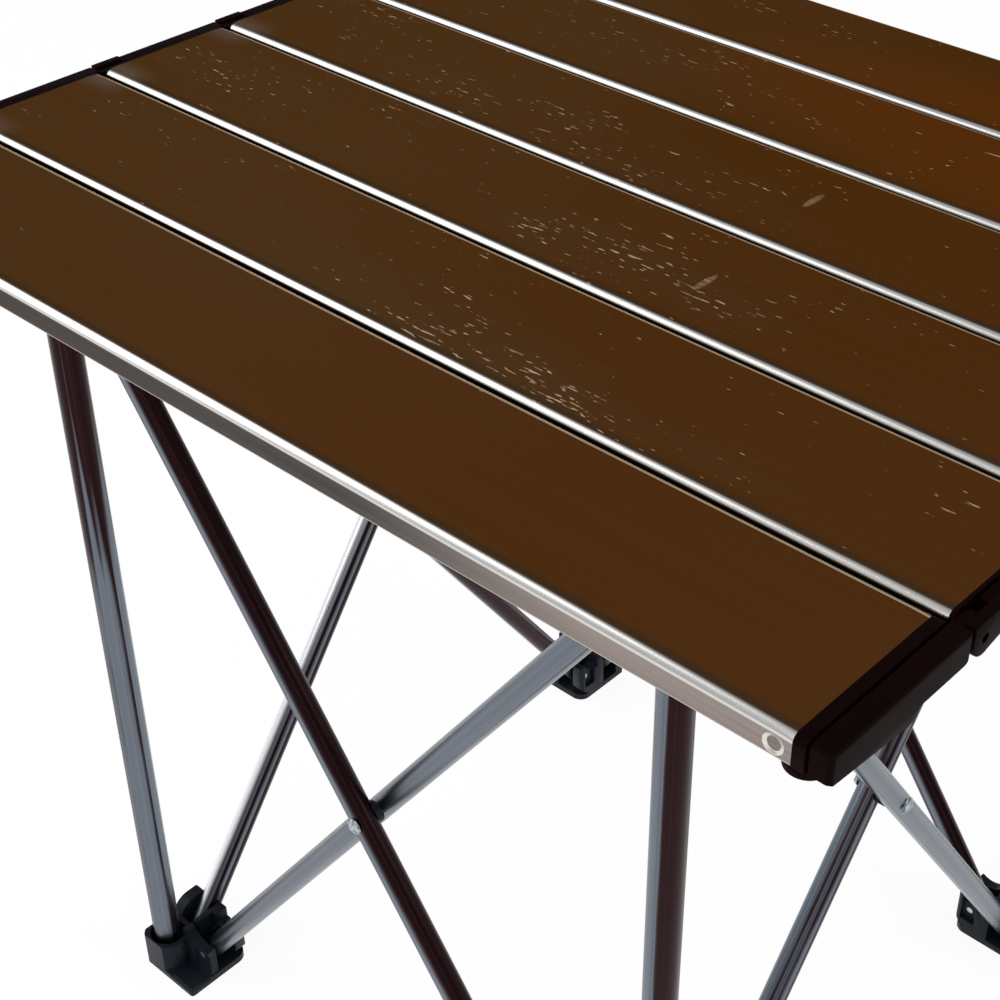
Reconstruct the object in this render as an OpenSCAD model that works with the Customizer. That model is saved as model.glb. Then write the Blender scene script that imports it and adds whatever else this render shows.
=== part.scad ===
// Folding camp table: a roll-up top of hinged aluminium slats on a four-sided scissor frame.
// Millimetres. X runs along the slats, Y across them and +Z up; the origin lies on the floor
// under the middle of the table. Sides and corners are counted from the near side (-Y) and the
// near left corner, anticlockwise seen from above.

/* [Tabletop] */
// Height of the top surface above the floor
table_height = 362; // [330:1:420]
// Distance from one slat's near edge to the next one's
slat_pitch = 57.5; // [48:0.5:69]
// Length of the metal of a middle slat
slat_length = 392; // [340:1:470]
// How much shorter the metal of the two outermost slats is, at each end
end_setback = 2.3; // [0:0.1:3]
// Gap between neighbouring slats
slat_gap = 1.6; // [1:0.1:2]
// Height of a slat's side walls
slat_height = 9.5; // [9:0.1:11]
// Sheet thickness of a slat
slat_wall = 1.2; // [0.9:0.1:1.5]
// Radius of a slat's long top edges
slat_edge_r = 2.6; // [2:0.1:3.2]
// Width of the lip turned in under each side wall
slat_lip = 3.5; // [2.5:0.5:5]

/* [End caps] */
// How far the caps stand out past the metal of the middle slats
cap_out = 8; // [7:0.1:10]
// Thickness of the flange that covers the end of a slat
cap_flange = 1.2; // [1:0.1:1.6]
// How deep a cap's plug reaches into its slat
plug_depth = 12; // [9:0.5:16]
// Drop from the slats' top surface to the top of the caps' outer bar
bar_drop = 0.3; // [0.1:0.1:1]
// Depth of the outer bar below the top surface
bar_depth = 9.4; // [9:0.1:11]
// Radius of the bar's long outer top edge
bar_edge_r = 1.8; // [1:0.1:2.5]
// Depth of the groove between the flange and the bar
bar_groove = 1.5; // [1:0.1:2.5]
// Deepest point of the bar's belly on the outermost slats
belly_depth = 12.8; // [11:0.1:15]
// Distance of a hinge pin past the boundary between two slats
hinge_inset = 5.5; // [5.2:0.1:6]
// Depth of a hinge pin below the top surface
hinge_drop = 6; // [5.8:0.1:6.4]
// Radius of the hinge knuckles
knuckle_r = 5; // [4.6:0.1:5]
// Diameter of the hinge pins
hinge_pin_d = 2.8; // [2.4:0.1:3]
// Thickness of the hinge tongue
tongue_t = 3.2; // [2.6:0.1:3.6]
// Radius of the round stud under each outer corner of the top
stud_r = 5.8; // [5.4:0.2:8]
// Height of that stud
stud_h = 2.5; // [2:0.5:4]

/* [Frame] */
// Distance between neighbouring upright tubes, axis to axis
post_span = 262.6; // [230:1:320]
// Diameter of the upright tubes
post_d = 11; // [9:0.1:12]
// Diameter of the slanted scissor tubes
arm_d = 9; // [8:0.1:9.2]
// Wall thickness of all the tubes
tube_wall = 1; // [0.8:0.1:1.4]
// Distance of the scissor pivots from the upright they belong to
pivot_inset = 17.6; // [16.2:0.1:18]
// Height of the lower pivots above the floor
foot_pivot_h = 12.1; // [10.4:0.1:14]
// Depth of the upper pivots below the top surface
hub_pivot_drop = 30; // [27:0.1:34]
// Offset of the outer scissor tubes' plane in from the uprights
outer_in = 2; // [1.8:0.1:2.4]
// Offset of the inner scissor tubes' plane in from the uprights
inner_in = 12.2; // [12:0.1:13]
// Length of tube past its end pivots
arm_end = 5; // [4:0.1:5]
// Diameter of the scissor pins and rivets
pin_d = 3; // [2.5:0.1:3.5]
// Diameter of the rivets' domed heads
rivet_head_d = 6.5; // [5.5:0.5:8]
// Height of the rivets' domed heads
rivet_head_h = 1.5; // [1.2:0.1:2.5]
// Diameter of the saddle spacers between crossing tubes
spacer_d = 8.5; // [8:0.5:11]

/* [Feet and hubs] */
// How far a moulding reaches out past the upright's axis
block_out = 7.8; // [7.6:0.1:9]
// How far a moulding reaches in from the upright's axis
block_in = 23.2; // [22.8:0.1:26]
// Thickness of the base plate
plate_t = 3.2; // [2.6:0.1:3.5]
// Radius of the plate's corner under the middle of the table
plate_r = 5.5; // [2:0.5:6]
// Height of a foot's fork walls above their pivots
wall_top = 9.4; // [7:0.1:10]
// How far a hub's fork walls reach past their pivots
hub_wall_top = 7.4; // [6:0.1:10]
// Thickness of the wall between the two forks
fork_web = 2.5; // [2:0.1:2.6]
// Thickness of the inner fork's front wall
front_wall = 4.3; // [3:0.1:5]
// Outer radius of a foot's round cup
cup_r = 9.6; // [9.4:0.1:9.8]
// Wall thickness of the cup
cup_wall = 2.4; // [2:0.1:2.8]
// Height of the cup above the floor
cup_h = 17; // [12:0.5:18]
// Wall thickness of a hub's tight socket
socket_wall = 2.5; // [2:0.1:3]
// Width of the recesses in the fork walls
recess_w = 6.8; // [5:0.1:7]
// Depth of the recesses in the fork walls
recess_t = 2.4; // [1:0.1:2.5]
// Depth of the pocket round the pin in the inner fork's front wall
pocket_t = 0.8; // [0.6:0.1:1.5]
// Radius of the scoop in the top of the inner fork's front wall
scoop_r = 8; // [6:0.5:10]

/* [Fits] */
// Gap where one body rests on another
seat = 0.3; // [0.2:0.05:0.4]
// Radial clearance of a pin in the moulding or tube that holds it
pin_fit = 0.02; // [0.01:0.01:0.03]
// Radial clearance of a pin in the piece that turns on it
run_fit = 0.08; // [0.05:0.01:0.1]
// Clearance between a tube and each side of its fork
fork_fit = 0.35; // [0.25:0.05:0.5]
// Clearance on each side of a hinge tongue
tongue_fit = 0.2; // [0.15:0.05:0.3]
// Clearance of a cap's plug in its slat
plug_fit = 0.1; // [0.05:0.05:0.2]

/* [Hidden] */
$fn = 48;
SLATS = 6;
CORNERS = ["near_left", "near_right", "far_right", "far_left"];
SIDES = ["near", "right", "far", "left"];
function each_named(prefix, names) = [for (n = names) str(prefix, n)];

// More than any piece's size, for cuts that run right through
through = 60;
// Overlap of shapes that are joined
lap = 1;

table_width = SLATS * slat_pitch;
slat_width = slat_pitch - slat_gap;
hub_top = table_height - slat_height - seat;
hub_pivot_z = table_height - hub_pivot_drop;
hub_pivot_h = hub_top - hub_pivot_z;
saddle_h = pin_d / 2 + 2.7;
recess_mid = pivot_inset - 0.5;
notch_w = recess_w / 2 + 2.2;
arm_run = post_span - 2 * pivot_inset;
arm_rise = hub_pivot_z - foot_pivot_h;
arm_length = sqrt(arm_run * arm_run + arm_rise * arm_rise);
arm_lean = atan2(arm_run, arm_rise);
crossing_z = (hub_pivot_z + foot_pivot_h) / 2;
outer_plane = outer_in - post_span / 2;
inner_plane = inner_in - post_span / 2;
slot = arm_d + 2 * fork_fit;
outer_slot = [outer_in - slot / 2, outer_in + slot / 2];
inner_slot = [inner_in - slot / 2, inner_in + slot / 2];
tongue_x = cap_flange + tongue_fit;
cheek_x = cap_flange + tongue_t + 2 * tongue_fit;
tongue_r = knuckle_r - tongue_fit;
slot_end = hinge_inset + knuckle_r + 3 * tongue_fit;
free_end = slat_gap / 2 + 0.5;
bar_end_r = 3;
bar_setback = 0.1;

function slat_y(k) = (k - 1) * slat_pitch - table_width / 2;
function is_end(k) = k == 1 || k == SLATS;
function setback(k) = is_end(k) ? end_setback : 0;

// ---- outlines and placing -------------------------------------------------------------------

// A flat outline (y, z) drawn out along +X from x0
module along_x(x0, length)
    translate([x0, 0, 0]) rotate([90, 0, 90]) linear_extrude(height = length) children();

// A flat outline (x, z) drawn out along +Y from y0
module along_y(y0, length)
    translate([0, y0 + length, 0]) rotate([90, 0, 0]) linear_extrude(height = length) children();

// A rectangle between two corners
module block(x0, y0, x1, y1)
    translate([x0, y0]) square([x1 - x0, y1 - y0]);

// A rectangle with round corners
module rounded(x0, y0, x1, y1, r) {
    block(x0 + r, y0, x1 - r, y1);
    block(x0, y0 + r, x1, y1 - r);
    for (x = [x0 + r, x1 - r], y = [y0 + r, y1 - r])
        translate([x, y]) circle(r);
}

// A box hanging down from z = 0 with its two top edges rounded
module arched(width, height, r) {
    block(r, -height, width - r, 0);
    block(0, -height, width, -r);
    for (y = [r, width - r])
        translate([y, -r]) circle(r);
}

// A round tube standing on z = 0 with lightly broken ends
module tube(d, length) {
    edge = tube_wall * 0.35;
    rotate_extrude()
        translate([d / 2 - tube_wall, 0])
            polygon([[0, 0], [tube_wall - edge, 0], [tube_wall, edge], [tube_wall, length - edge],
                     [tube_wall - edge, length], [0, length]]);
}

module at_corner(c)
    rotate([0, 0, 90 * c]) translate([-post_span / 2, -post_span / 2, 0]) children();

// A hub is the foot moulding's layout turned over about the corner's diagonal
module at_hub(c)
    at_corner(c) translate([0, 0, hub_top]) rotate(a = 180, v = [1, 1, 0]) children();

module at_side(s)
    rotate([0, 0, 90 * s]) children();

// ---- tabletop -------------------------------------------------------------------------------

module slat_outline()
    difference() {
        arched(slat_width, slat_height, slat_edge_r);
        translate([slat_wall, -slat_wall])
            arched(slat_width - 2 * slat_wall, slat_height - 2 * slat_wall,
                   slat_edge_r - slat_wall);
        block(slat_lip, -slat_height - lap, slat_width - slat_lip, -slat_height + slat_wall + lap);
    }

module slat(k) {
    metal = slat_length - 2 * setback(k);
    color("#4a2a12")
        translate([0, slat_y(k) + slat_gap / 2, table_height])
            along_x(-metal / 2, metal) slat_outline();
}

// Plug inside the slat's end, cored from below between its ribs
module cap_plug(k) {
    x0 = -setback(k) - plug_depth;
    height = slat_height - 2 * slat_wall - 2 * plug_fit;
    inset = slat_gap / 2 + slat_wall + plug_fit;
    rib = 1.6;
    first = hinge_inset + knuckle_r + rib;
    bay = (slat_pitch - 2 * first - rib) / 2;
    difference() {
        translate([0, inset, -slat_wall - plug_fit])
            along_x(x0, plug_depth + lap)
                arched(slat_pitch - 2 * inset, height, slat_edge_r - slat_wall);
        for (i = [0, 1])
            translate([x0 + rib, first + i * (bay + rib), -slat_height])
                cube([plug_depth - 2 * rib, bay, slat_height - slat_wall - plug_fit - rib]);
    }
}

// Outer bar of a slat that has a free edge: it deepens away from the corner, then steps up
module belly_outline() {
    corner_r = 1.5;
    step = slat_pitch * 0.57;
    polygon([[free_end, -bar_depth + 3], [free_end, -bar_depth - 0.4 + corner_r],
             [free_end + corner_r, -bar_depth - 0.4], [step, -belly_depth],
             [step + 1.2, -belly_depth + 0.3], [step + 3.6, -bar_depth + 0.2],
             [step + 4.6, -bar_depth + 3]]);
    translate([free_end + corner_r, -bar_depth - 0.4 + corner_r]) circle(corner_r);
}

// Outer bar between the two hinges of a slat, or between a hinge and the free edge
module bar_outline(k) {
    near = k == 1 ? free_end : slot_end;
    far = k == SLATS ? slat_pitch - free_end : slat_pitch - bar_setback;
    rounded(near, -bar_depth + 3, far, -bar_drop, 1.2);
    block(near, -bar_depth, far - bar_end_r, -bar_drop - bar_end_r);
    translate([far - bar_end_r, -bar_depth + bar_end_r]) circle(bar_end_r);
    if (k > 1)
        block(near, -bar_depth, near + 2, -bar_drop);
    if (k == 1)
        belly_outline();
    if (k == SLATS)
        translate([slat_pitch, 0]) mirror([1, 0]) belly_outline();
}

// The bar with its outer edges rounded, and the groove that parts its top from the flange
module bar(k) {
    groove_w = 0.8;
    near = k == 1 ? free_end : 0;
    far = k == SLATS ? slat_pitch - free_end : slat_pitch - bar_setback;
    difference() {
        intersection() {
            along_x(cap_flange, cap_out - cap_flange) bar_outline(k);
            along_y(-lap, slat_pitch + 2 * lap)
                translate([-bar_edge_r, -bar_drop])
                    arched(cap_out + bar_edge_r, belly_depth + lap, bar_edge_r);
            translate([0, 0, -belly_depth - lap])
                linear_extrude(height = belly_depth + lap)
                    rounded(-cap_out, near, cap_out, far, 1.5);
        }
        translate([cap_flange, -lap, -bar_drop - bar_groove])
            cube([groove_w, slat_pitch + 2 * lap, bar_groove + lap]);
        if (k == 1)
            translate([cap_flange, 0, -through / 2]) cube([groove_w, free_end + 1, through]);
        if (k == SLATS)
            translate([cap_flange, slat_pitch - free_end - 1, -through / 2])
                cube([groove_w, free_end + 1, through]);
    }
}

// Cheek with a round knuckle over the hinge pin at a slat's near edge
module cheek_outline() {
    block(hinge_inset - knuckle_r, -hinge_drop, slot_end + lap, -bar_drop);
    translate([hinge_inset, -hinge_drop]) circle(knuckle_r);
    polygon([[hinge_inset, -hinge_drop - knuckle_r], [slot_end + 2 * lap, -bar_depth],
             [slot_end + 2 * lap, -bar_depth + lap], [slot_end, -hinge_drop],
             [hinge_inset, -hinge_drop]]);
}

// Tongue that reaches past a slat's far edge to the next slat's pin
module tongue_outline() {
    translate([slat_pitch + hinge_inset, -hinge_drop]) circle(tongue_r);
    block(slat_pitch - 8, -hinge_drop - 3, slat_pitch + hinge_inset, -hinge_drop + tongue_r);
}

// Round stud under the outer corner, on a neck that passes between the slat's lips
module corner_stud(k) {
    y = k == 1 ? slat_gap / 2 + stud_r + 0.2 : slat_pitch - slat_gap / 2 - stud_r - 0.2;
    neck_r = stud_r - slat_lip - 0.5;
    translate([0.6 - end_setback, y, -slat_height - plug_fit - stud_h])
        cylinder(r = stud_r, h = stud_h);
    translate([-setback(k) - neck_r - 0.5, y, -slat_height - plug_fit - lap])
        cylinder(r = neck_r, h = slat_wall + 3 * lap);
}

module cap(k)
    translate([slat_length / 2, slat_y(k), table_height])
        difference() {
            union() {
                cap_plug(k);
                translate([0, slat_gap / 2, 0])
                    along_x(-setback(k), setback(k) + cap_flange)
                        arched(slat_width, slat_height, slat_edge_r);
                bar(k);
                if (k > 1)
                    along_x(cheek_x, cap_out - cheek_x) cheek_outline();
                if (k < SLATS)
                    along_x(tongue_x, tongue_t) tongue_outline();
                if (is_end(k))
                    corner_stud(k);
            }
            translate([-through / 2, hinge_inset, -hinge_drop])
                if (k > 1)
                    rotate([0, 90, 0]) cylinder(d = hinge_pin_d + 2 * pin_fit, h = through);
            translate([0, slat_pitch + hinge_inset, -hinge_drop])
                if (k < SLATS)
                    rotate([0, 90, 0]) cylinder(d = hinge_pin_d + 2 * run_fit, h = through);
        }

module slat_caps(k)
    color("#141414")
        for (end = [0, 1])
            mirror([end, 0, 0]) cap(k);

// Pins between slats k and k + 1, held in the caps of slat k + 1
module hinge_pins(k) {
    inside = plug_depth / 2;
    recess = 1.5;
    color("silver")
        for (end = [0, 1])
            mirror([end, 0, 0])
                translate([slat_length / 2 - inside, slat_y(k + 1) + hinge_inset,
                           table_height - hinge_drop])
                    rotate([0, 90, 0]) cylinder(d = hinge_pin_d, h = inside + cap_out - recess);
}

// ---- feet and hubs --------------------------------------------------------------------------
// Drawn at the near left corner, with the upright's axis at the origin and the plate at z = 0

module cup_outline(r)
    intersection() {
        circle(r);
        block(-block_out, -block_out, r, r);
    }

module plate_outline()
    intersection() {
        rounded(-block_out, -block_out, block_in, block_in, 1.5);
        rounded(-through, -through, block_in, block_in, plate_r);
        union() {
            circle(cup_r);
            block(0, -block_out, block_in, block_in);
            block(-block_out, 0, block_in, block_in);
        }
    }

// A wall's side view, from a0 to a1 and up to top, with its free top corner rounded
module wall_view(a0, a1, top) {
    r = 1.2;
    block(a0, 0, a1 - r, top);
    block(a0, 0, a1, top - r);
    translate([a1 - r, top - r]) circle(r);
}

// Side view of the outer fork's outer wall: a round shoulder where it leaves the cup
module outer_view(top) {
    shoulder_r = 8;
    shoulder_a = cup_r;
    block(0, 0, block_in - 2, top - shoulder_r);
    translate([shoulder_a + shoulder_r, top - shoulder_r]) circle(shoulder_r);
    wall_view(shoulder_a + shoulder_r, block_in, top);
}

// Side view of the inner fork's front wall, with a scoop over the pivot for the leaning tube
module front_view(pivot_h, top) {
    end_rise = 1.2;
    difference() {
        block(outer_slot[1], 0, block_in - 0.5, top);
        translate([pivot_inset, pivot_h + saddle_h + scoop_r]) circle(scoop_r);
        block(pivot_inset, pivot_h + saddle_h + end_rise, block_in + lap, top + lap);
    }
}

// Side view of the inner fork's back wall: its end stands clear of the plate's round corner
module back_view(pivot_h, top)
    difference() {
        polygon([[outer_slot[1], 0], [block_in - plate_r, 0], [block_in - plate_r, plate_t],
                 [block_in - 2.6, plate_t + 2], [block_in - 0.6, plate_t + 3.8],
                 [block_in, plate_t + 5.2], [block_in, top - 1], [block_in - 1, top],
                 [outer_slot[1], top]]);
        block(recess_mid - notch_w, pivot_h + saddle_h, recess_mid + recess_w / 2, top + lap);
    }

// The four walls of the two forks
module fork_walls(pivot_h, top) {
    along_x(-block_out, outer_slot[0] + block_out)
        outer_view(top);
    along_x(outer_slot[1], fork_web)
        wall_view(cup_r - 0.6, block_in, top);
    along_y(inner_slot[0] - front_wall, front_wall)
        front_view(pivot_h, top);
    intersection() {
        along_y(inner_slot[1], block_in - inner_slot[1])
            back_view(pivot_h, top);
        linear_extrude(height = through) rounded(-through, -through, block_in, block_in, 2.5);
    }
}

module outer_pin_axis(pivot_h, d, u0, u1)
    translate([u0, pivot_inset, pivot_h]) rotate([0, 90, 0]) cylinder(d = d, h = u1 - u0);

module inner_pin_axis(pivot_h, d, v0, v1)
    translate([pivot_inset, v1, pivot_h]) rotate([90, 0, 0]) cylinder(d = d, h = v1 - v0);

// Moulding recesses that bare the ends of the pins: the front wall's one runs out at its end,
// and the back wall's one is open upwards
module recesses(pivot_h) {
    low = pivot_h - 4.4;
    pocket_low = pivot_h - 8;
    pocket_rim = 1.6;
    translate([recess_mid - recess_w / 2, inner_slot[0] - front_wall - through + pocket_t,
               pocket_low])
        cube([through, through, pivot_h + pin_d / 2 + pocket_rim - pocket_low]);
    translate([recess_mid - recess_w / 2, block_in - recess_t, low])
        cube([recess_w, through, through]);
    translate([-block_out - through + recess_t, recess_mid - recess_w / 2, low])
        cube([through, recess_w, pivot_h + saddle_h - low]);
}

module fork_pins(pivot_h) {
    flush = 0.2;
    outer_pin_axis(pivot_h, pin_d, -block_out + recess_t + flush, outer_slot[1] + fork_web);
    inner_pin_axis(pivot_h, pin_d, inner_slot[0] - front_wall + pocket_t + flush,
                   block_in - recess_t - flush);
}

module fork_holes(pivot_h) {
    outer_pin_axis(pivot_h, pin_d + 2 * pin_fit, -block_out - lap, outer_slot[1] + fork_web + lap);
    inner_pin_axis(pivot_h, pin_d + 2 * pin_fit, inner_slot[0] - front_wall - lap, block_in + lap);
    recesses(pivot_h);
}

// Broken top edges of the plate along its two open sides
module plate_edges() {
    edge = 1.6;
    translate([cup_r + through / 2, -block_out, plate_t])
        rotate([45, 0, 0]) cube([through, edge, edge], center = true);
    translate([block_in, inner_slot[0] - front_wall - lap - through / 2, plate_t])
        rotate([0, 45, 0]) cube([edge, through, edge], center = true);
}

// Cup that the upright stands in, split towards the middle of the table
module split_cup() {
    split = 6;
    difference() {
        linear_extrude(height = cup_h) cup_outline(cup_r);
        rotate([0, 0, 45])
            translate([0, -split / 2, plate_t]) cube([through, split, through]);
    }
}

module foot(c)
    color("#16171a")
        at_corner(c)
            difference() {
                union() {
                    linear_extrude(height = plate_t) plate_outline();
                    split_cup();
                    fork_walls(foot_pivot_h, foot_pivot_h + wall_top);
                }
                translate([0, 0, plate_t]) cylinder(r = cup_r - cup_wall, h = through);
                fork_holes(foot_pivot_h);
                plate_edges();
            }

module hub(c) {
    socket_d = post_d + 2 * pin_fit;
    color("#16171a")
        at_hub(c)
            difference() {
                union() {
                    linear_extrude(height = plate_t) plate_outline();
                    linear_extrude(height = hub_pivot_h + hub_wall_top - 2)
                        cup_outline(socket_d / 2 + socket_wall);
                    fork_walls(hub_pivot_h, hub_pivot_h + hub_wall_top);
                }
                translate([0, 0, plate_t]) cylinder(d = socket_d, h = through);
                fork_holes(hub_pivot_h);
            }
}

module foot_pins(c)
    color("silver") at_corner(c) fork_pins(foot_pivot_h);

module hub_pins(c)
    color("silver") at_hub(c) fork_pins(hub_pivot_h);

// ---- tubes, rivets and spacers --------------------------------------------------------------

module upright(c)
    color("lightsteelblue")
        at_corner(c)
            translate([0, 0, plate_t + seat])
                tube(post_d, hub_top - 2 * plate_t - 2 * seat);

// A scissor tube with its lower pivot at the origin and its pin holes along Y
module arm(hole_fits)
    difference() {
        translate([0, 0, -arm_end]) tube(arm_d, arm_length + 2 * arm_end);
        for (i = [0:2])
            translate([0, arm_d, i * arm_length / 2])
                rotate([90, 0, 0]) cylinder(d = pin_d + 2 * hole_fits[i], h = 2 * arm_d);
    }

// Outer tube of a side: from the next corner's foot up to this corner's hub
module outer_arm(s)
    color("lightsteelblue")
        at_side(s)
            translate([arm_run / 2, outer_plane, foot_pivot_h])
                rotate([0, -arm_lean, 0]) arm([run_fit, pin_fit, run_fit]);

// Inner tube of a side: from this corner's foot up to the next corner's hub
module inner_arm(s)
    color("lightsteelblue")
        at_side(s)
            translate([-arm_run / 2, inner_plane, foot_pivot_h])
                rotate([0, arm_lean, 0]) arm([run_fit, run_fit, run_fit]);

// Rivet through both tubes of a side, with a domed head outside and a flat one inside
module rivet(s) {
    head_y = outer_plane - arm_d / 2 - plug_fit;
    tail_y = inner_plane + arm_d / 2 + plug_fit;
    dome_r = (rivet_head_d * rivet_head_d / 4 + rivet_head_h * rivet_head_h) / (2 * rivet_head_h);
    color("silver")
        at_side(s)
            translate([0, 0, crossing_z])
                rotate([-90, 0, 0]) {
                    translate([0, 0, head_y - lap])
                        cylinder(d = pin_d, h = tail_y - head_y + 2 * lap);
                    intersection() {
                        translate([0, 0, head_y + dome_r - rivet_head_h]) sphere(dome_r);
                        translate([0, 0, head_y - rivet_head_h])
                            cylinder(d = 2 * rivet_head_d, h = rivet_head_h);
                    }
                    translate([0, 0, tail_y]) cylinder(d1 = rivet_head_d * 0.8,
                                                       d2 = rivet_head_d * 0.65, h = 1.4);
                }
}

// Spacer between the crossing tubes: a disc with a saddle that holds the outer tube
module spacer(s) {
    start = outer_plane + arm_d * 0.3;
    end = inner_plane - arm_d / 2 - plug_fit;
    color("#16171a")
        at_side(s)
            difference() {
                translate([0, start, crossing_z])
                    rotate([-90, 0, 0]) cylinder(d = spacer_d, h = end - start);
                translate([0, outer_plane, crossing_z])
                    rotate([0, -arm_lean, 0])
                        cylinder(d = arm_d + 2 * pin_fit, h = through, center = true);
                translate([0, start - lap, crossing_z])
                    rotate([-90, 0, 0]) cylinder(d = pin_d + 2 * pin_fit, h = through);
            }
}

// ---- what is drawn --------------------------------------------------------------------------

for (k = [1:SLATS]) slat(k);
for (k = [1:SLATS]) slat_caps(k);
for (k = [1:SLATS - 1]) hinge_pins(k);
for (i = [0:3]) foot(i);
for (i = [0:3]) foot_pins(i);
for (i = [0:3]) hub(i);
for (i = [0:3]) hub_pins(i);
for (i = [0:3]) upright(i);
for (i = [0:3]) outer_arm(i);
for (i = [0:3]) inner_arm(i);
for (i = [0:3]) rivet(i);
for (i = [0:3]) spacer(i);
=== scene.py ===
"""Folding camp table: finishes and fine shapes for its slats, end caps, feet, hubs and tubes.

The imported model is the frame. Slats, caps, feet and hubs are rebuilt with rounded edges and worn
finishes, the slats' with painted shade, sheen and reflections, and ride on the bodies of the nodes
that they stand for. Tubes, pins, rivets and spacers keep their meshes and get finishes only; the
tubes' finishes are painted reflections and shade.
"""

import math
import random

import bmesh
import bpy
from bpy.props import FloatProperty, FloatVectorProperty, PointerProperty
from mathutils import Euler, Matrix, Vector


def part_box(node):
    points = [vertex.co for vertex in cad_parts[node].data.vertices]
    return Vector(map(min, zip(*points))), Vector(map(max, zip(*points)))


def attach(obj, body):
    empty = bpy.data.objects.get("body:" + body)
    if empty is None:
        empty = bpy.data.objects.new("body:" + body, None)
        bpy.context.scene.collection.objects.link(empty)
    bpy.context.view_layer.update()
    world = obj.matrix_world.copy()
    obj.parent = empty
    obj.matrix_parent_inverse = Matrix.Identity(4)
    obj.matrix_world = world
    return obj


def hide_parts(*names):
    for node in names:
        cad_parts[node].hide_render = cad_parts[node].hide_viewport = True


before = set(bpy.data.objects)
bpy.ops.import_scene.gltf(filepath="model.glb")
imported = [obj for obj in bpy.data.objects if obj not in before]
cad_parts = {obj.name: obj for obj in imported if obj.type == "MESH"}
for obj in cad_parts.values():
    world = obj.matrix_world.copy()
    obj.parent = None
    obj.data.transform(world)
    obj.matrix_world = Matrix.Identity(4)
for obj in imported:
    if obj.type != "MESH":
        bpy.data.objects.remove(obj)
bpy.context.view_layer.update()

bl_info = {
    "name": "Folding camp table",
    "version": (1, 0, 0),
    "blender": (4, 5, 0),
    "location": "3D View > Sidebar > Camp Table",
    "description": "Builds the finished slats, caps, feet and tubes of a folding camp table",
    "category": "Object",
}

MM = 0.001
SLATS = range(1, 7)
CORNERS = ("near_left", "near_right", "far_right", "far_left")
SIDES = ("near", "right", "far", "left")

# Middle, reach and strength of each patch of the top that use has worn
WORN_PATCHES = (
    ((0.035, -0.104), (0.080, 0.011), 1.0),
    ((0.020, -0.092), (0.060, 0.014), 0.55),
    ((0.030, -0.038), (0.075, 0.016), 0.80),
    ((-0.030, 0.020), (0.120, 0.020), 0.62),
    ((-0.060, 0.085), (0.070, 0.016), 0.35),
    ((-0.140, -0.072), (0.045, 0.012), 0.60),
    ((-0.160, -0.026), (0.050, 0.018), 0.62),
    ((0.120, -0.100), (0.030, 0.010), 0.45),
)
# Middles of the two rubbed scuffs on the top, and the reach of each
SCUFFS = ((0.0585, -0.0315), (0.0515, 0.033))
SCUFF_REACH = (0.0016, 0.0065)
# Middle, reach and strength of the painted warm sheen on the far slats
WARM_SHEEN = ((0.110, 0.110), (0.190, 0.060), 0.30)

# Tints that the finishes lay over their main colours
BRUSHED_LINE = (0.25, 0.15, 0.08)
DULL_HAZE = (0.15, 0.115, 0.080)
GAP_SHADE = (0.035, 0.030, 0.024)
WALL_LINE = (0.03, 0.029, 0.028)
# Darker colour inside the punched marks' grooves
GROOVE_DARK = (0.16, 0.13, 0.115)
DUST = (0.05, 0.045, 0.042)
# The sheet's tint at a glancing angle
SHEET_GLANCE = (0.55, 0.45, 0.40, 1.0)

# Share of a punched mark's radius over which its wall slopes
CRIMP_SLOPE = 0.2

# Direction, seen from above, toward which the tubes' painted shade and dark painted streaks lean,
# as if the light fell from the other side
DARK_SIDE = math.radians(42)
# Each tube's painted reflections and shade: painted dark share at the foot and at the top, the
# pattern's shift, how far the painted shade leans to DARK_SIDE, and how strong the painted
# highlight on the other side is
TUBE_PAINTED_LIGHT = {
    "pale": (0.18, 0.30, 0.9, 0.0, 0.0),
    "mixed": (0.50, 0.60, 0.35, 0.45, 0.0),
    "dark": (0.85, 0.90, 0.6, 0.40, 0.0),
    "maroon": (1.05, 1.05, 0.75, 0.80, 0.0),
    "fading": (0.48, 1.00, 0.15, -0.16, 0.0),
    "striped": (0.55, 0.55, 0.35, 0.35, 0.9),
}
# The painted reflections and shade of each tube that isn't mixed
TUBE_SHADES = {
    "upright_near_left": "fading", "upright_near_right": "maroon",
    "outer_arm_near": "dark", "inner_arm_near": "pale", "outer_arm_right": "pale",
    "inner_arm_far": "dark", "inner_arm_left": "striped", "outer_arm_left": "striped",
}

# Each lamp: its place, where it aims, its width and depth, and its power
LAMPS = {
    "left_box": ((-1.50, -1.05, 1.27), (0.0, -0.10, 0.36), 1.3, 1.8, 13.5),
    "front_box": ((0.3, -1.8, 1.3), (0.0, 0.0, 0.3), 1.0, 0.7, 8.0),
    "side_box": ((1.6, 0.5, 1.2), (0.0, 0.0, 0.2), 0.8, 0.8, 6.0),
}


# ---- shader expressions ---------------------------------------------------------------------


class Wire:
    """A node's output. Arithmetic on it adds Math nodes to the same tree."""

    def __init__(self, finish, socket):
        self.finish = finish
        self.socket = socket

    def maths(self, operation, *values):
        return self.finish.node("ShaderNodeMath", {"operation": operation},
                                dict(enumerate(values)))

    def __add__(self, other):
        return self.maths("ADD", self, other)

    def __radd__(self, other):
        return self.maths("ADD", other, self)

    def __sub__(self, other):
        return self.maths("SUBTRACT", self, other)

    def __rsub__(self, other):
        return self.maths("SUBTRACT", other, self)

    def __mul__(self, other):
        return self.maths("MULTIPLY", self, other)

    def __truediv__(self, other):
        return self.maths("DIVIDE", self, other)

    def __neg__(self):
        return self.maths("MULTIPLY", self, -1.0)

    def __abs__(self):
        return self.maths("ABSOLUTE", self)

    def __pow__(self, power):
        return self.maths("POWER", self, power)

    def fraction(self):
        return self.maths("FRACT", self)

    def least(self, other):
        return self.maths("MINIMUM", self, other)

    def most(self, other):
        return self.maths("MAXIMUM", self, other)


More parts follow.
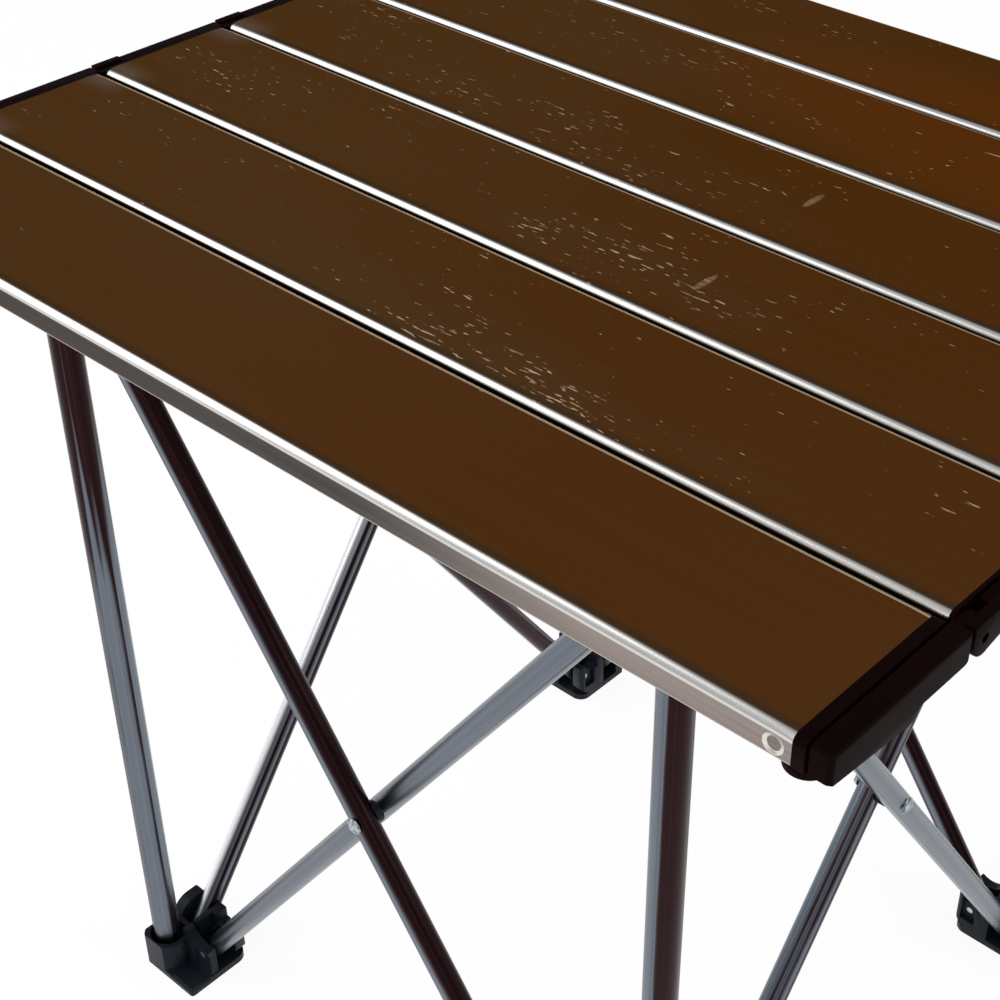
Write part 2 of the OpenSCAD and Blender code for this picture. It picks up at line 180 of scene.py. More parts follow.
class Finish:
    """One material's node tree."""

    def __init__(self, name):
        self.material = bpy.data.materials.new(name)
        self.material.use_nodes = True
        self.tree = self.material.node_tree
        self.tree.nodes.clear()

    def node(self, kind, settings=None, values=None, output=0):
        """Adds a node, sets it up, feeds its sockets and returns one of its outputs."""
        made = self.tree.nodes.new(kind)
        for name, value in (settings or {}).items():
            setattr(made, name, value)
        for name, value in (values or {}).items():
            socket = made.inputs[name]
            if isinstance(value, Wire):
                self.tree.links.new(value.socket, socket)
            else:
                socket.default_value = value
        return Wire(self, made.outputs[output])

    def place(self):
        """Where a point lies on the piece at rest, in metres."""
        return self.node("ShaderNodeTexCoord", output="Object")

    def facing(self):
        """The piece's own surface normal, which turns with the piece."""
        return self.node("ShaderNodeTexCoord", output="Normal")

    def parts(self, vector):
        """A vector's three components."""
        split = self.node("ShaderNodeSeparateXYZ", {}, {0: vector}, "X")
        outputs = split.socket.node.outputs
        return [Wire(self, outputs[axis]) for axis in "XYZ"]

    def stretched(self, vector, scale=(1.0, 1.0, 1.0), shift=(0.0, 0.0, 0.0)):
        """A vector scaled along each axis, then shifted."""
        return self.node("ShaderNodeMapping", {"vector_type": "POINT"},
                         {"Vector": vector, "Scale": scale, "Location": shift})

    def noise(self, vector, scale, detail=3.0, roughness=0.5):
        return self.node("ShaderNodeTexNoise", {"noise_dimensions": "3D"},
                         {"Vector": vector, "Scale": scale, "Detail": detail,
                          "Roughness": roughness}, "Fac")

    def between(self, value, low, high, start=0.0, end=1.0):
        """Eases from start to end as the value goes from low to high."""
        return self.node("ShaderNodeMapRange", {"interpolation_type": "SMOOTHSTEP"},
                         {"Value": value, "From Min": low, "From Max": high,
                          "To Min": start, "To Max": end})

    def blend(self, factor, first, second):
        """Mixes two colours, each a wire or any three numbers."""
        colours = [value if isinstance(value, Wire) else (*value, 1.0)
                   for value in (first, second)]
        return self.node("ShaderNodeMix", {"data_type": "RGBA"},
                         {0: factor, 6: colours[0], 7: colours[1]}, 2)

    def bumped(self, height, distance, strength, normal=None):
        """A normal tilted by a height, on top of another one if that is given."""
        values = {"Height": height, "Distance": distance, "Strength": strength}
        if normal:
            values["Normal"] = normal
        return self.node("ShaderNodeBump", {}, values)

    def surface(self, values):
        """Ends the tree in a principled surface."""
        shader = self.node("ShaderNodeBsdfPrincipled", {}, values)
        out = self.tree.nodes.new("ShaderNodeOutputMaterial")
        self.tree.links.new(shader.socket, out.inputs["Surface"])
        return self.material


# ---- sizes and colours a user may change -----------------------------------------------------


def colour(name, description, default):
    return FloatVectorProperty(name=name, description=description, subtype="COLOR", size=3,
                               min=0.0, max=1.0, default=default)


class SlatSettings(bpy.types.PropertyGroup):
    """The top's slats of sheet metal."""

    edge_radius: FloatProperty(
        name="Edge radius", description="Radius of a slat's long top edges",
        default=2.9 * MM, min=1 * MM, max=4 * MM, subtype="DISTANCE", unit="LENGTH")
    sheet: FloatProperty(
        name="Sheet", description="Thickness of the sheet metal",
        default=1.2 * MM, min=0.8 * MM, max=1.6 * MM, subtype="DISTANCE", unit="LENGTH")
    lip: FloatProperty(
        name="Lip", description="Width of the lip under each side wall",
        default=3.5 * MM, min=2 * MM, max=6 * MM, subtype="DISTANCE", unit="LENGTH")
    crimp_radius: FloatProperty(
        name="Crimp radius", description="Radius of the punched marks that lock the caps",
        default=2.75 * MM, min=1 * MM, max=3.5 * MM, subtype="DISTANCE", unit="LENGTH")
    crimp_depth: FloatProperty(
        name="Crimp depth", description="Depth of the punched marks",
        default=0.4 * MM, min=0.0, max=1 * MM, subtype="DISTANCE", unit="LENGTH")
    crimp_from_end: FloatProperty(
        name="Crimp from end", description="Distance of the punched marks from the metal's end",
        default=4.9 * MM, min=3 * MM, max=10 * MM, subtype="DISTANCE", unit="LENGTH")
    crimp_level: FloatProperty(
        name="Crimp level", description="How far down a side wall the punched marks sit",
        default=0.6, min=0.3, max=0.7, subtype="FACTOR")
    foot_radius: FloatProperty(
        name="Lower radius", description="Radius between a side wall and its lip",
        default=0.8 * MM, min=0.3 * MM, max=1.5 * MM, subtype="DISTANCE", unit="LENGTH")
    brown: colour("Brown", "Anodised colour of the slats' tops", (0.168, 0.080, 0.029))
    deep_brown: colour("Deep brown", "Redder cloud in the anodised colour", (0.164, 0.060, 0.0150))
    # Painted warm sheen on the far slats
    amber_sheen: colour("Amber", "Warmer cloud on the far slats", (0.315, 0.087, 0.018))
    bend_metal: colour("Bend metal", "Bare metal of the rounded near edges", (0.74, 0.73, 0.70))
    bend_tan: colour("Tan bend", "Half bare metal of the rounded far edges", (0.88, 0.70, 0.48))
    # Painted reflection ramp where the top turns into a bright bend
    bend_ramp_reflection: colour("Olive bend", "Thinning anodising where the top turns into a bend",
                       (0.060, 0.050, 0.034))
    wall_dark: colour("Wall", "Dark anodising of the side walls", (0.096, 0.096, 0.095))
    # Painted lighter reflection on the side walls toward the right end
    wall_painted_reflection: colour("Worn wall", "Side walls where the anodising has worn thin",
                      (0.34, 0.29, 0.265))
    nick: colour("Nick", "Bare metal in the nicks and scuffs", (1.0, 0.72, 0.46))


class PlasticSettings(bpy.types.PropertyGroup):
    """The black mouldings."""

    softening: FloatProperty(
        name="Edge softening", description="Radius of the mouldings' broken edges",
        default=0.25 * MM, min=0.1 * MM, max=0.4 * MM, subtype="DISTANCE", unit="LENGTH")
    cap_black: colour("Cap black", "Colour of the end caps", (0.0052, 0.0008, 0.0007))
    foot_black: colour("Foot black", "Colour of the feet and hubs", (0.0075, 0.0100, 0.0155))


class MetalSettings(bpy.types.PropertyGroup):
    """The tubes and pins."""

    tube: colour("Tube", "Grey of the drawn tubes", (0.150, 0.172, 0.205))
    # Painted glints: bright lines along the tubes
    tube_painted_glint: colour("Tube line", "Bright drawing lines", (0.40, 0.40, 0.41))
    # Painted highlight along one side of the striped tubes
    tube_painted_highlight: colour("Bare tube", "Tubes rubbed bare along one side", (0.90, 0.92, 0.94))
    # Painted shade and painted reflection of dark surroundings, as dark brownish streaks
    tube_painted_shade: colour("Tube shadow", "Dark brownish streaks of the tubes", (0.025, 0.010, 0.011))
    rivet: colour("Rivet", "Colour of the rivets' heads", (0.52, 0.56, 0.61))
    pin: colour("Pin", "Colour of the steel pins", (0.80, 0.80, 0.79))


class StageSettings(bpy.types.PropertyGroup):
    """Camera, lamps and floor."""

    camera_place: FloatVectorProperty(
        name="Camera place", description="Where the camera stands", size=3,
        subtype="TRANSLATION", unit="LENGTH", default=(0.3572, -0.4303, 0.6445))
    camera_turn: FloatVectorProperty(
        name="Camera turn", description="The camera's rotation", size=3, subtype="EULER",
        default=(math.radians(53.796), math.radians(-0.420), math.radians(41.630)))
    lens: FloatProperty(
        name="Lens", description="Focal length on a 36 mm sensor", default=69.0, min=20.0,
        max=200.0)
    shift: FloatVectorProperty(
        name="Shift", description="Camera shift", size=2, default=(-0.0713, 0.0022))
    floor_radius: FloatProperty(
        name="Floor radius", description="Radius of the round floor", default=6.0, min=1.0,
        max=20.0, subtype="DISTANCE", unit="LENGTH")
    shadow: FloatProperty(
        name="Shadow", description="How much of the table's shadow the floor shows",
        default=0.15, min=0.0, max=1.0, subtype="FACTOR")
    floor_glow: FloatProperty(
        name="Floor glow", description="Strength of the floor's own white",
        default=1.07, min=0.5, max=1.2)
    room: colour("Room", "Colour of the light from all around", (0.42, 0.42, 0.43))


class CampTableSettings(bpy.types.PropertyGroup):
    """Everything that the camp table's operators read."""

    slats: PointerProperty(type=SlatSettings)
    plastic: PointerProperty(type=PlasticSettings)
    metal: PointerProperty(type=MetalSettings)
    stage: PointerProperty(type=StageSettings)


# ---- finishes ---------------------------------------------------------------------------------


def soft_spot(finish, x, y, middle, reach):
    """One about an ellipse's middle, easing to nothing at its reach."""
    across = (x - middle[0]) / reach[0]
    along = (y - middle[1]) / reach[1]
    return finish.between(across * across + along * along, 1.0, 0.25)


def wear(finish, place, x, y):
    """How worn the top is: short nicks in patches, a dull haze and two rubbed scuffs. The near
    slat has hardly been used."""
    field = finish.noise(finish.stretched(place, (205.0, 1080.0, 1.0)), 1.0, detail=1.5,
                         roughness=0.5)
    patch = finish.noise(finish.stretched(place, (30.0, 60.0, 1.0), shift=(0.3, 0.7, 0.0)), 1.0,
                         detail=2.0)
    crowded = 0.0
    for middle, reach, strength in WORN_PATCHES:
        spot = soft_spot(finish, x, y, middle, reach) * strength
        crowded = spot.most(crowded)
    share = crowded * finish.between(patch, 0.38, 0.60, 0.35, 1.0)
    second_near_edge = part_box("slat_2")[0][1]
    used = finish.between(y, second_near_edge - 8 * MM, second_near_edge)
    share = share.most(finish.between(patch, 0.54, 0.68) * 0.55) * (used * 0.8 + 0.2)
    fresh = finish.noise(finish.stretched(place, (90.0, 160.0, 1.0)), 1.0, detail=1.0)
    nicks = finish.between(field - (1 - share) * 0.15 - (1 - used) * 0.05, 0.605, 0.645)
    nicks = nicks * finish.between(fresh, 0.35, 0.60, 0.45, 1.0)
    haze = crowded * finish.between(patch, 0.35, 0.70, 0.25, 0.8)
    scuffs = 0.0
    for middle in SCUFFS:
        scuffs = soft_spot(finish, x, y, middle, SCUFF_REACH).most(scuffs)
    return nicks, haze, scuffs * finish.between(field, 0.35, 0.6, 0.35, 0.8)


def punched_mark(finish, x, z, look):
    """Bare rim of the punched marks, with a painted highlight brighter on one side, and their
    darker groove, by the distance from a mark's middle.
    """
    low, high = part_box("slat_1")
    from_middle = abs(x) - ((high[0] - low[0]) / 2 - look.crimp_from_end)
    above = z - (high[2] - (high[2] - low[2]) * look.crimp_level)
    away = ((from_middle * from_middle + above * above) ** 0.5) / look.crimp_radius
    rim = finish.between(away, 0.84, 0.94) * finish.between(away, 1.10, 1.0)
    groove = finish.between(away, 0.84, 0.74)
    # The rim's painted highlight fades away from one side
    highlight_side = finish.between(from_middle - above * 0.7, -0.5 * MM, 2.2 * MM, 1.0, 0.15)
    ragged = finish.noise(finish.place(), 800.0, detail=3.0, roughness=0.6)
    rim = rim * highlight_side * finish.between(ragged, 0.38, 0.56, 0.15, 1.0)
    return rim, groove * finish.between(ragged, 0.60, 0.40, 0.5, 1.0)


def painted_sheen_zones(finish, look, x, y):
    """Where sheen is painted: a painted reflection ramp beside each near edge, and a painted sheen
    in the left corners.
    """
    low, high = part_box("slat_1")
    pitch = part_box("slat_2")[0][1] - low[1]
    from_edge = ((y - low[1]) / pitch).fraction() * pitch
    beside = finish.between(from_edge, look.edge_radius + 1.9 * MM, look.edge_radius)
    from_side = from_edge.least(high[1] - low[1] - from_edge)
    corner = finish.between(-x, high[0] - 20 * MM, high[0] - 5 * MM)
    return beside, corner * finish.between(from_side, 13 * MM, 2 * MM) * 0.15


def top_colour(finish, look, x, y, cloud, lines, ramp_reflection, corner, worn):
    """Colour of the flat tops, from clouded brown to bare metal in the nicks, with a painted warm
    sheen, a painted reflection ramp beside the bends and a painted sheen in the left corners.
    """
    nicks, haze, scuffs = worn
    middle, reach, strength = WARM_SHEEN
    brown = finish.blend(finish.between(cloud * 0.25 - x, 0.0, 0.25), look.deep_brown,
                         look.brown)
    brown = finish.blend(finish.between(lines, 0.3, 0.7, 0.0, 0.07), brown, BRUSHED_LINE)
    brown = finish.blend(haze * 0.22, brown, DULL_HAZE)
    # Painted warm sheen on the far slats
    brown = finish.blend(soft_spot(finish, x, y, middle, reach) * strength, brown, look.amber_sheen)
    # Painted reflection ramp beside the bends
    brown = finish.blend(ramp_reflection * 0.8, brown, look.bend_ramp_reflection)
    # Painted sheen in the left corners
    brown = finish.blend(corner, brown, look.bend_metal)
    brown = finish.blend(scuffs * 0.5, brown, look.nick)
    return finish.blend(nicks * 0.95, brown, look.nick)


def wall_colour(finish, look, x, z, cloud, lines, gap_shade_mask):
    """Colour of the side walls: a painted lighter reflection to the right, painted shade in the
    gaps, and the punched marks with their painted rim highlight.
    """
    # Painted reflection: the walls turn lighter toward the right end
    reflection_toward_end = finish.between(x + cloud * 0.03, 0.06, 0.16)
    side = finish.blend(reflection_toward_end, look.wall_dark, look.wall_painted_reflection)
    # Painted shade on the walls in the gaps between slats
    side = finish.blend(gap_shade_mask * 0.85, side, GAP_SHADE)
    side = finish.blend(finish.between(lines, 0.3, 0.75, 0.0, 0.3), side, WALL_LINE)
    # A darker groove, and a bare rim with a painted highlight on one side
    rim, groove = punched_mark(finish, x, z, look)
    side = finish.blend(groove * 0.6, side, GROOVE_DARK)
    return finish.blend(rim * 0.6, side, look.bend_metal)


def brown_sheet(look):
    """Brown anodised sheet: bare bright bends, darker side walls and short pale nicks, with painted
    shade in the gaps, painted reflections on the walls and beside the bends, and painted sheen.
    """
    finish = Finish("brown_anodised_sheet")
    place = finish.place()
    x, y, z = finish.parts(place)
    _, ny, nz = finish.parts(finish.facing())
    far_top = finish.between(ny, 0.15, 0.08)
    flat_top = finish.between(nz, 0.84, 0.965).least(far_top)
    beside, corner = painted_sheen_zones(finish, look, x, y)
    # Painted reflection ramp where the top turns into each bend
    ramp_reflection = (finish.between(nz, 0.995, 0.955) * far_top).most(beside * 0.7)
    near_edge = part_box("slat_1")[0][1]
    # Painted shade in the gaps: past the front slat's near wall, the lower part of each bend takes
    # the dark wall colour
    gap_shade_mask = finish.between(y, near_edge + 5 * MM, near_edge + 9 * MM)
    wall = (finish.between(abs(ny), 0.82, 0.95) * gap_shade_mask).most(
        finish.between(abs(ny), 0.975, 0.998))
    lines = finish.noise(finish.stretched(place, (5.0, 900.0, 500.0)), 1.0, detail=4.0,
                         roughness=0.65)
    cloud = finish.noise(finish.stretched(place, (1.0, 2.2, 1.0)), 5.5, detail=2.0)
    nicks, haze, scuffs = wear(finish, place, x, y)
    brown = top_colour(finish, look, x, y, cloud, lines, ramp_reflection, corner, (nicks, haze, scuffs))
    bend = finish.blend(finish.between(ny, 0.02, 0.06), look.bend_metal, look.bend_tan)
    side = wall_colour(finish, look, x, z, cloud, lines, gap_shade_mask)
    tint = finish.blend(flat_top, finish.blend(wall, bend, side), brown)
    top_roughness = 0.34 + cloud * 0.06 + haze * 0.04
    bend_roughness = 0.22 + lines * 0.10
    roughness = top_roughness * flat_top + (1 - flat_top) * bend_roughness
    normal = finish.bumped(lines, 0.01 * MM, 0.4)
    normal = finish.bumped(nicks, 0.03 * MM, 0.6, normal)
    return finish.surface({"Base Color": tint, "Metallic": 1.0, "Roughness": roughness,
                           "Specular Tint": SHEET_GLANCE, "Normal": normal})


def tube_with_painted_light(name, look, dark_low, dark_high, shift, lean, bare):
    """Drawn tube with lengthwise painted reflections and shade: dark streaks, bright painted
    glints, painted shade toward the top or one side, and on some a painted highlight along the
    other side.
    The tube table above says what its numbers mean.
    """
    finish = Finish(name)
    place = finish.place()
    z = finish.parts(place)[2]
    round_it = finish.facing()
    nx, ny, _ = finish.parts(round_it)
    painted_shade_side = nx * math.cos(DARK_SIDE) + ny * math.sin(DARK_SIDE)
    bands = finish.noise(finish.stretched(round_it, shift=(shift, 0.4, 0.1)), 1.9, detail=1.0,
                         roughness=0.4)
    painted_streaks = finish.noise(finish.stretched(round_it, shift=(0.2, shift, 0.6)), 6.5, detail=2.5,
                           roughness=0.55)
    smear = finish.noise(place, 21.0, detail=3.0, roughness=0.5)
    # Painted shade: the dark share changes from the foot to the top, darker under the table on some
    # tubes, and leans toward DARK_SIDE
    share = finish.between(z, 0.17, 0.32, dark_low, dark_high) + (smear - 0.5) * 0.25
    share = share + painted_shade_side * lean
    dark = finish.between(share * 0.56 + 0.22 - bands + (painted_streaks - 0.5) * 0.10, -0.05, 0.09)
    tint = finish.blend(dark, look.tube, look.tube_painted_shade)
    # bare sets a painted highlight along the side away from DARK_SIDE
    if bare:
        tint = finish.blend(finish.between(painted_shade_side, -0.20, -0.50, 0.0, bare), tint,
                            look.tube_painted_highlight)
    # Painted glints as bright lines, then painted dark lines
    tint = finish.blend(finish.between(painted_streaks, 0.56, 0.74, 0.0, 0.32) * (1 - dark * 0.85), tint,
                        look.tube_painted_glint)
    tint = finish.blend(finish.between(painted_streaks, 0.44, 0.30, 0.0, 0.40), tint,
                        look.tube_painted_shade)
    return finish.surface({"Base Color": tint, "Metallic": 1.0, "Roughness": 0.22 + smear * 0.14})


def rivet_metal(look):
    """Headed aluminium rivets with a slightly hammered face."""
    finish = Finish("rivet_head")
    dents = finish.noise(finish.place(), 900.0, detail=2.0)
    tint = finish.blend(finish.between(dents, 0.3, 0.7), look.rivet, look.tube)
    return finish.surface({"Base Color": tint, "Metallic": 1.0, "Roughness": 0.34 + dents * 0.1,
                           "Normal": finish.bumped(dents, 0.05 * MM, 0.6)})


def moulded_black(name, black, roughness, gloss):
    """Black nylon with a fine grain, faint flow clouds and dusty rubbed spots."""
    finish = Finish(name)
    place = finish.place()
    grain = finish.noise(place, 2600.0, detail=2.0, roughness=0.6)
    cloud = finish.noise(place, 85.0, detail=3.0)
    dust = finish.noise(place, 420.0, detail=5.0, roughness=0.7)
    tint = finish.blend(finish.between(cloud, 0.35, 0.7, 0.0, 0.5), black,
                        tuple(1.7 * c for c in black))
    tint = finish.blend(finish.between(dust, 0.66, 0.80, 0.0, 0.22), tint, DUST)
    return finish.surface({"Base Color": tint, "Roughness": roughness + cloud * 0.16 + grain * 0.06,
                           "Specular IOR Level": gloss,
                           "Normal": finish.bumped(grain, 0.02 * MM, 0.5)})


def turned_steel(name, tint):
    """Plain steel pin stock with fine rings."""
    finish = Finish(name)
    rings = finish.noise(finish.place(), 1400.0, detail=2.0)
    shade = finish.blend(rings, tint, tuple(0.6 * c for c in tint))
    return finish.surface({"Base Color": shade, "Metallic": 1.0,
                           "Roughness": 0.28 + rings * 0.12})


def coat(node, material):
    """Puts a finish on a node of the frame."""
    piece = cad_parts[node]
    for slot in piece.material_slots:
        slot.link = "DATA"
        slot.material = material
    if not piece.material_slots:
        piece.data.materials.append(material)


# ---- shapes -----------------------------------------------------------------------------------


def made_piece(name, build, material, body, slot, *nodes):
    """Turns a bmesh into an object that rides on a body and stands for the frame's nodes."""
    mesh = bpy.data.meshes.new(name)
    build.to_mesh(mesh)
    build.free()
    piece = bpy.data.objects.new(name, mesh)
    bpy.context.scene.collection.objects.link(piece)
    mesh.materials.append(material)
    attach(piece, body)
    if nodes:
        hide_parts(*nodes)
    return piece


def shade_by_angle(build, limit=35.0):
    """Smooth faces, with edges sharper than the limit kept sharp."""
    for face in build.faces:
        face.smooth = True
    for edge in build.edges:
        edge.smooth = edge.calc_face_angle(0.0) < math.radians(limit)


def softened(node, width, limit=32.0, segments=2):
    """A node's solid with its longer sharp edges rounded. Edges at small curves stay crisp."""
    build = bmesh.new()
    build.from_mesh(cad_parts[node].data)
    bmesh.ops.remove_doubles(build, verts=build.verts, dist=0.002 * MM)
    bmesh.ops.dissolve_limit(build, angle_limit=math.radians(1.5), verts=build.verts,
                             edges=build.edges, delimit={"NORMAL"})
    roomy = {corner for corner in build.verts
             if all(edge.calc_length() > 2.4 * width for edge in corner.link_edges)}
    sharp = [edge for edge in build.edges
             if edge.calc_face_angle(0.0) > math.radians(limit) and roomy.issuperset(edge.verts)]
    bmesh.ops.bevel(build, geom=sharp, offset=width, offset_type="OFFSET", segments=segments,
                    profile=0.5, affect="EDGES", clamp_overlap=False, miter_outer="ARC",
                    miter_inner="SHARP")
    shade_by_angle(build)
    return build


def sheet_outline(width, height, look, arc_steps=9, wall_steps=22, top_steps=26):
    """Cross-section of a slat from lip to lip, outside then inside, as (y, z) pairs."""

    def corner(middle_y, middle_z, radius, start, steps):
        """Points on a quarter turn that starts at an angle and runs clockwise."""
        turns = [start - 0.5 * math.pi * i / steps for i in range(steps + 1)]
        return [(middle_y + radius * math.cos(t), middle_z + radius * math.sin(t))
                for t in turns]

    def run(inset):
        upper = look.edge_radius - inset
        lower = max(look.foot_radius - inset, 0.05 * MM)
        low, high, left, right = -height + inset, -inset, inset, width - inset
        points = [(look.lip, low)]
        points += corner(left + lower, low + lower, lower, 1.5 * math.pi, 4)
        wall_low, wall_high = low + lower, high - upper
        points += [(left, wall_low + (wall_high - wall_low) * i / wall_steps)
                   for i in range(1, wall_steps)]
        points += corner(left + upper, high - upper, upper, math.pi, arc_steps)
        start, end = left + upper, right - upper
        points += [(start + (end - start) * i / top_steps, high)
                   for i in range(1, top_steps // 2)]
        mirrored = [(width - y, z) for y, z in reversed(points)]
        return points + [(width / 2, high)] + mirrored

    return run(0.0), run(look.sheet)


def sheet_stations(length, look):
    """Places along a slat: close together near the punched ends, wide apart between them."""
    fine = 0.45 * MM
    close = [i * fine for i in range(int(10 * MM / fine))]
    spread = length - 2 * close[-1]
    middle = [close[-1] + spread * i / 34 for i in range(1, 34)]
    places = close + middle + [length - p for p in reversed(close)]
    return [p - length / 2 for p in places]


def build_slat(k, look):
    """One slat rolled from sheet, with punched marks near its ends and softly drawn-in corners."""
    low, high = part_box(f"slat_{k}")
    length, width, height = high[0] - low[0], high[1] - low[1], high[2] - low[2]
    outer, inner = sheet_outline(width, height, look)
    chance = random.Random(40 + k)
    waves = [(chance.uniform(0, 6.3), chance.uniform(9, 14)) for _ in range(3)]
    mark_x = length / 2 - look.crimp_from_end
    mark_z = -height * look.crimp_level
    wall_reach = look.edge_radius * 1.1

    def shaped(x, y, z):
        """Pushes in the punched marks and adds the rolling's faint unevenness."""
        away = math.hypot(abs(x) - mark_x, z - mark_z) / look.crimp_radius
        if away < 1.0:
            push = look.crimp_depth * min(1.0, (1 - away) / CRIMP_SLOPE)
            if y < wall_reach:
                y += push
            elif y > width - wall_reach:
                y -= push
        bend_in = max(0.0, 1 - (length / 2 - abs(x)) / (7 * MM)) ** 2
        near_edge = max(0.0, 1 - min(y, width - y) / (5 * MM))
        if z > -height / 2:
            z -= 0.22 * MM * bend_in * near_edge
        if z > -height / 2:
            z -= abs(sum(math.sin(phase + x * rate) for phase, rate in waves) * 0.012 * MM)
        return x, low[1] + y, high[2] + z

    build = bmesh.new()
    rows = []
    for x in sheet_stations(length, look):
        rows.append([[build.verts.new(shaped(x, y, z)) for y, z in path]
                     for path in (outer, inner)])
    for first, second in zip(rows, rows[1:]):
        for side in (0, 1):
            a, b = first[side], second[side]
            for i in range(len(a) - 1):
                quad = (a[i], b[i], b[i + 1], a[i + 1])
                build.faces.new(quad if side == 0 else quad[::-1])
        for i in (0, -1):
            quad = (first[0][i], first[1][i], second[1][i], second[0][i])
            build.faces.new(quad if i == 0 else quad[::-1])
    for row, flip in ((rows[0], False), (rows[-1], True)):
        for i in range(len(outer) - 1):
            quad = (row[0][i], row[0][i + 1], row[1][i + 1], row[1][i])
            build.faces.new(quad[::-1] if flip else quad)
    bmesh.ops.recalc_face_normals(build, faces=build.faces)
    shade_by_angle(build)
    return build


# ---- stage ------------------------------------------------------------------------------------


def set_camera(scene, look):
    """The scene's camera and its view transform."""
    view = bpy.data.cameras.new("table_camera")
    view.sensor_width = 36.0
    view.lens = look.lens
    view.shift_x, view.shift_y = look.shift
    view.clip_start, view.clip_end = 0.02, 60.0
    camera = bpy.data.objects.new("table_camera", view)
    camera.location = look.camera_place
    camera.rotation_euler = Euler(look.camera_turn, "XYZ")
    scene.collection.objects.link(camera)
    scene.camera = camera
    scene.view_settings.view_transform = "Standard"


def pale_floor(look):
    """White that shows a share of the shadows and lights the table as a matt floor does."""
    floor = Finish("pale_floor")
    seen = 0.0
    for ray in ("Is Camera Ray", "Is Glossy Ray", "Is Transmission Ray"):
        seen = floor.node("ShaderNodeLightPath", output=ray).most(seen)
    mottle = floor.noise(floor.place(), 3.0, detail=3.0)
    matt = floor.node("ShaderNodeBsdfDiffuse", {}, {
        "Color": floor.blend(mottle, (0.86, 0.86, 0.86), (0.9, 0.9, 0.9))})
    glow = floor.node("ShaderNodeEmission", {}, {
        "Color": (1, 1, 1, 1), "Strength": look.floor_glow})
    mixed = floor.node("ShaderNodeMixShader", {}, {
        0: seen * (1 - look.shadow), 1: matt, 2: glow})
    out = floor.tree.nodes.new("ShaderNodeOutputMaterial")
    floor.tree.links.new(mixed.socket, out.inputs["Surface"])
    return floor.material


def lay_floor(scene, look):
    """A round floor just under the feet."""
    material = pale_floor(look)
    build = bmesh.new()
    bmesh.ops.create_circle(build, cap_ends=True, radius=look.floor_radius, segments=96)
    mesh = bpy.data.meshes.new("floor")
    build.to_mesh(mesh)
    build.free()
    mesh.materials.append(material)
    ground = bpy.data.objects.new("floor", mesh)
    ground.location.z = -0.2 * MM
    scene.collection.objects.link(ground)


def light_room(scene, look):
    """An even grey room and the three soft boxes."""
    world = bpy.data.worlds.new("room")
    world.use_nodes = True
    background = world.node_tree.nodes["Background"]
    background.inputs["Color"].default_value = (*look.room, 1.0)
    background.inputs["Strength"].default_value = 1.0
    scene.world = world
    for name, (place, aim, width, depth, power) in LAMPS.items():
        lamp = bpy.data.lights.new(name, "AREA")
        lamp.shape = "RECTANGLE"
        lamp.size, lamp.size_y = width, depth
        lamp.energy = power
        holder = bpy.data.objects.new(name, lamp)
        holder.location = place
        toward = Vector(aim) - Vector(place)
        holder.rotation_euler = toward.to_track_quat("-Z", "Y").to_euler()
        scene.collection.objects.link(holder)


# ---- operators --------------------------------------------------------------------------------


class CAMPTABLE_OT_stage(bpy.types.Operator):
    """Camera, lamps and a plain pale floor"""

    bl_idname = "camptable.stage"
    bl_label = "Stage"

    def execute(self, context):
        look = context.scene.camp_table.stage
        set_camera(context.scene, look)
        lay_floor(context.scene, look)
        light_room(context.scene, look)
        return {"FINISHED"}


class CAMPTABLE_OT_slats(bpy.types.Operator):
    """The six rolled sheet slats in brushed brown anodising"""

    bl_idname = "camptable.slats"
    bl_label = "Slats"

    def execute(self, context):
        look = context.scene.camp_table.slats
        brown = brown_sheet(look)
        for k in SLATS:
            made_piece(f"rolled_slat_{k}", build_slat(k, look), brown, f"slat_{k}",
                       "brown_anodised", f"slat_{k}")
        return {"FINISHED"}


class CAMPTABLE_OT_end_caps(bpy.types.Operator):
    """The hinged end caps with softly broken edges"""

    bl_idname = "camptable.end_caps"
    bl_label = "End caps"

    def execute(self, context):
        look = context.scene.camp_table.plastic
        black = moulded_black("cap_nylon", look.cap_black, 0.40, 0.025)
        for k in SLATS:
            made_piece(f"end_caps_{k}", softened(f"slat_caps_{k}", look.softening), black,
                       f"slat_{k}", "black_plastic", f"slat_caps_{k}")
        return {"FINISHED"}


class CAMPTABLE_OT_feet_and_hubs(bpy.types.Operator):
    """The moulded feet and hubs of the frame, and the spacers between its tubes"""

    bl_idname = "camptable.feet_and_hubs"
    bl_label = "Feet and hubs"

    def execute(self, context):
        look = context.scene.camp_table.plastic
        black = moulded_black("frame_nylon", look.foot_black, 0.26, 0.14)
        for corner in CORNERS:
            for part in ("foot", "hub"):
                node = f"{part}_{corner}"
                made_piece(f"moulded_{node}", softened(node, look.softening), black, node,
                           "black_plastic", node)
        for side in SIDES:
            coat(f"spacer_{side}", black)
        return {"FINISHED"}


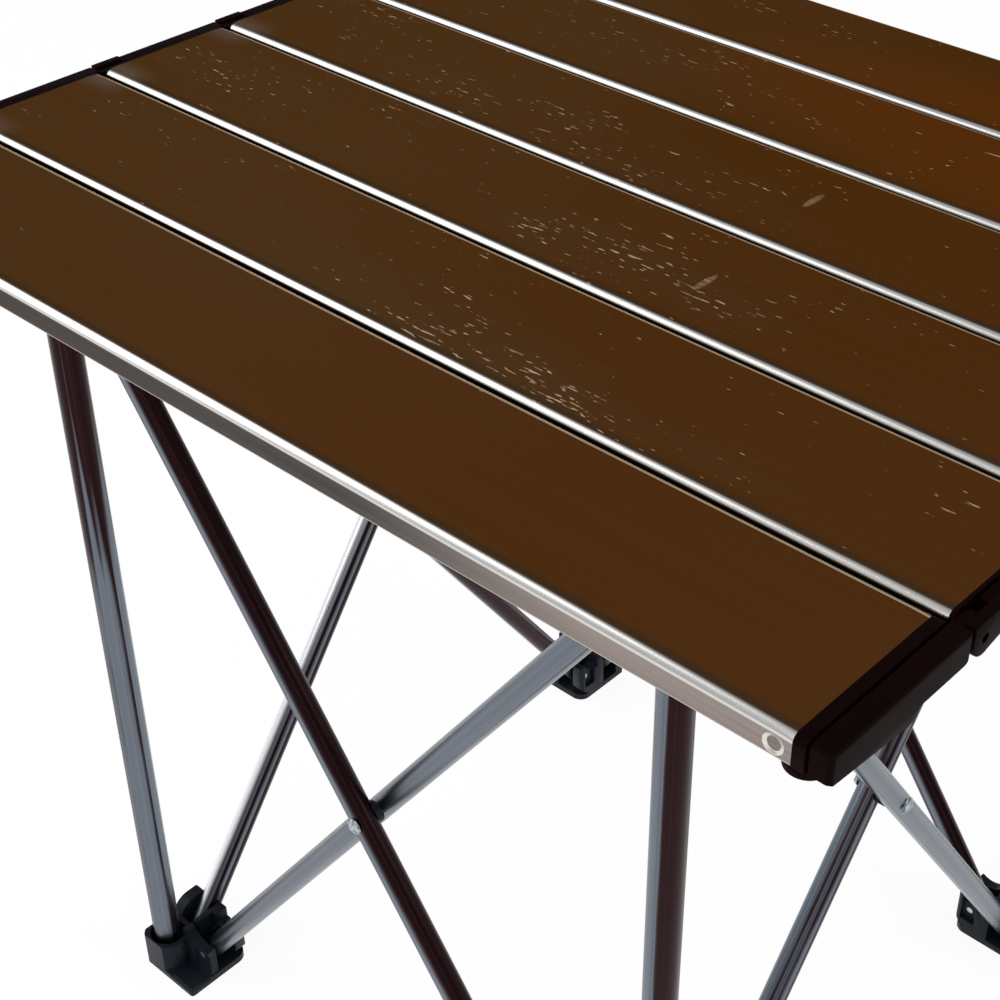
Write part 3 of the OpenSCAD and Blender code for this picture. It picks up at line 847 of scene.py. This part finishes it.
class CAMPTABLE_OT_tubes_and_pins(bpy.types.Operator):
    """Drawn aluminium tubes, domed rivets and steel pins"""

    bl_idname = "camptable.tubes_and_pins"
    bl_label = "Tubes and pins"

    def execute(self, context):
        look = context.scene.camp_table.metal
        drawn = {name: tube_with_painted_light(f"tube_with_painted_light_{name}", look, *numbers)
                 for name, numbers in TUBE_PAINTED_LIGHT.items()}
        rivet = rivet_metal(look)
        pin = turned_steel("pin_stock", look.pin)
        hinge_pin = turned_steel("hinge_pin_stock", tuple(0.2 * c for c in look.pin))
        tubes = [f"upright_{corner}" for corner in CORNERS]
        tubes += [f"{kind}_arm_{side}" for side in SIDES for kind in ("outer", "inner")]
        for tube in tubes:
            coat(tube, drawn[TUBE_SHADES.get(tube, "mixed")])
        for corner in CORNERS:
            coat(f"foot_pins_{corner}", pin)
            coat(f"hub_pins_{corner}", pin)
        for side in SIDES:
            coat(f"rivet_{side}", rivet)
        for k in SLATS[:-1]:
            coat(f"hinge_pins_{k}", hinge_pin)
        return {"FINISHED"}


class CAMPTABLE_PT_panel(bpy.types.Panel):
    """Lists the camp table's operators and settings"""

    bl_idname = "CAMPTABLE_PT_panel"
    bl_label = "Camp table"
    bl_space_type = "VIEW_3D"
    bl_region_type = "UI"
    bl_category = "Camp Table"

    def draw(self, context):
        settings = context.scene.camp_table
        for operator in OPERATORS:
            self.layout.operator(operator.bl_idname)
        for group in (settings.slats, settings.plastic, settings.metal, settings.stage):
            box = self.layout.box()
            for name in group.__annotations__:
                box.prop(group, name)


OPERATORS = (
    CAMPTABLE_OT_stage,
    CAMPTABLE_OT_slats,
    CAMPTABLE_OT_end_caps,
    CAMPTABLE_OT_feet_and_hubs,
    CAMPTABLE_OT_tubes_and_pins,
)
CLASSES = (SlatSettings, PlasticSettings, MetalSettings, StageSettings, CampTableSettings,
           *OPERATORS, CAMPTABLE_PT_panel)


def register():
    for each in CLASSES:
        bpy.utils.register_class(each)
    bpy.types.Scene.camp_table = PointerProperty(type=CampTableSettings)


def unregister():
    del bpy.types.Scene.camp_table
    for each in reversed(CLASSES):
        bpy.utils.unregister_class(each)


def main():
    """Builds everything in order."""
    register()
    for operator in OPERATORS:
        group, name = operator.bl_idname.split(".")
        getattr(getattr(bpy.ops, group), name)()


if __name__ == "__main__":
    main()
